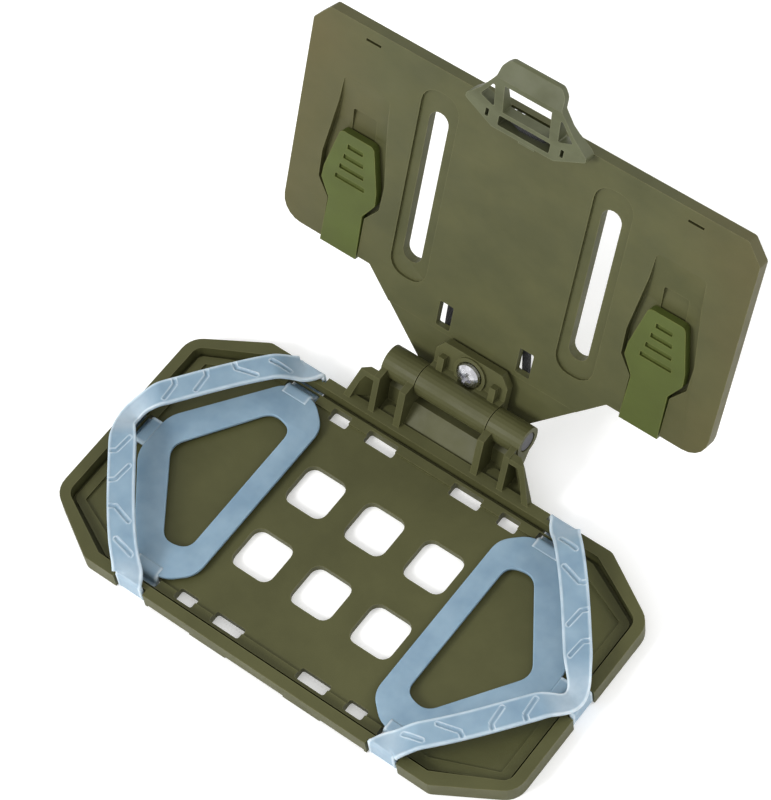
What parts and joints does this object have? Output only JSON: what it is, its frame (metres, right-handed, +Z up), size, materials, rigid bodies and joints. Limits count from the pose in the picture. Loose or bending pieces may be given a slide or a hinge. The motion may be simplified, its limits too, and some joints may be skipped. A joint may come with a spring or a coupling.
{
  "type": "folding phone mount",
  "caption": "Flip-down phone mount: tray with rubber bands, hinged to a slotted back plate with belt clips and a sliding catch.",
  "frame": {"origin": "middle of the whole object's footprint, on the surface that the tray lies on", "axes": "+X along the hinge axis from left to right as seen from the tray, +Y from the tray to the back plate, +Z up"},
  "size_m": [0.1868, 0.1646, 0.1362],
  "materials": {
    "olive_plastic": "fine texture",
    "clip_plastic": "fine texture",
    "silicone": "satin",
    "shock_cord": "braided",
    "dark_steel": "dark oxide",
    "bright_steel": "bright",
    "black_nylon": "plain"
  },
  "bodies": {
    "tray": {"tray": "olive_plastic", "hinge_pin": "dark_steel", "pin_cap": "dark_steel", "band_left": "silicone", "band_right": "silicone"},
    "plate": {"back_plate": "olive_plastic", "hinge_bracket": "olive_plastic", "bracket_screw": "bright_steel", "screw_washer": "dark_steel", "bracket_nut": "dark_steel", "friction_washer_left": "black_nylon", "friction_washer_right": "black_nylon", "shock_cord": "shock_cord", "cord_knot_left": "shock_cord", "cord_knot_right": "shock_cord", "clip_tongue_left": "clip_plastic", "clip_tongue_right": "clip_plastic"},
    "catch": {"top_catch": "olive_plastic"},
    "lever_left": {"clip_lever_left": "clip_plastic"},
    "lever_right": {"clip_lever_right": "clip_plastic"}
  },
  "joints": [
    {"name": "fold", "type": "hinge", "parent": "tray", "child": "plate", "pos_m": [0, 0.02806, 0.0181], "axis": [1, 0, 0], "range_deg": [0, 112.3]},
    {"name": "catch_slide", "type": "slide", "parent": "plate", "child": "catch", "axis": [0, 0.3801, 0.9249], "range_m": [0, 0.004], "stiffness_N_per_m": 200, "springref_m": -0.01, "deforming": ["shock_cord"]},
    {"name": "lever_left_lift", "type": "hinge", "parent": "plate", "child": "lever_left", "pos_m": [-0.05975, 0.04558, 0.03706], "axis": [1, 0, 0], "range_deg": [0, 15], "stiffness_Nm_per_rad": 0.15, "springref_deg": -5.73},
    {"name": "lever_right_lift", "type": "hinge", "parent": "plate", "child": "lever_right", "pos_m": [0.05975, 0.04558, 0.03706], "axis": [1, 0, 0], "range_deg": [0, 15], "stiffness_Nm_per_rad": 0.15, "springref_deg": -5.73}
  ]
}
